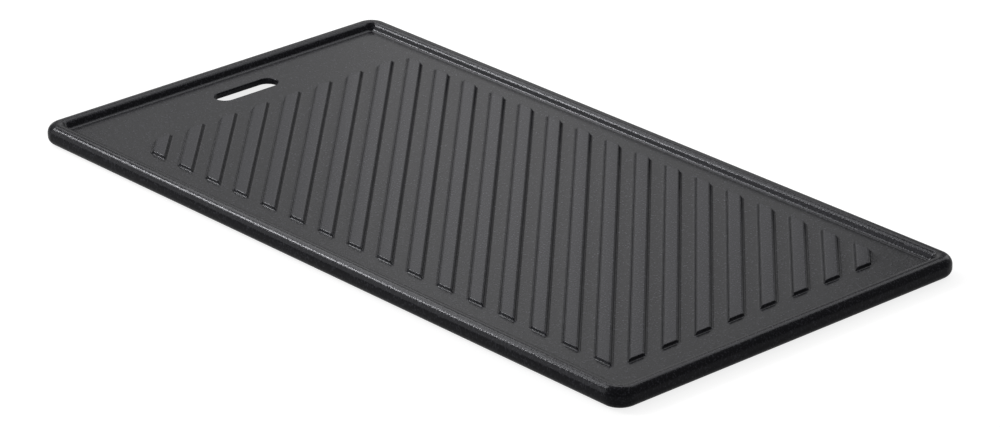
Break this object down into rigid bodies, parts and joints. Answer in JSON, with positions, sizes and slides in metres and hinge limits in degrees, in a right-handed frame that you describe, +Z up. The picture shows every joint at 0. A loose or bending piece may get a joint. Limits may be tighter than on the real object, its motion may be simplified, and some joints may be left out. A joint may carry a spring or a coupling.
{
  "type": "camp griddle plate",
  "caption": "Rectangular cast griddle plate with a rounded raised rim, a shallow tray, slanting flat-topped ribs and a lifting slot through one end.",
  "frame": {"origin": "on the plane the plate rests on, below the middle of its outline", "axes": "+X along the length towards the plain end, with the lifting slot at the -X end; +Y across the width; +Z up out of the cooking tray"},
  "size_m": [0.415, 0.215, 0.01],
  "materials": {
    "coated_casting": "charcoal-black non-stick coat, satin, over fine blasted cast grain"
  },
  "bodies": {
    "root": {"griddle_plate": "coated_casting"}
  },
  "joints": []
}
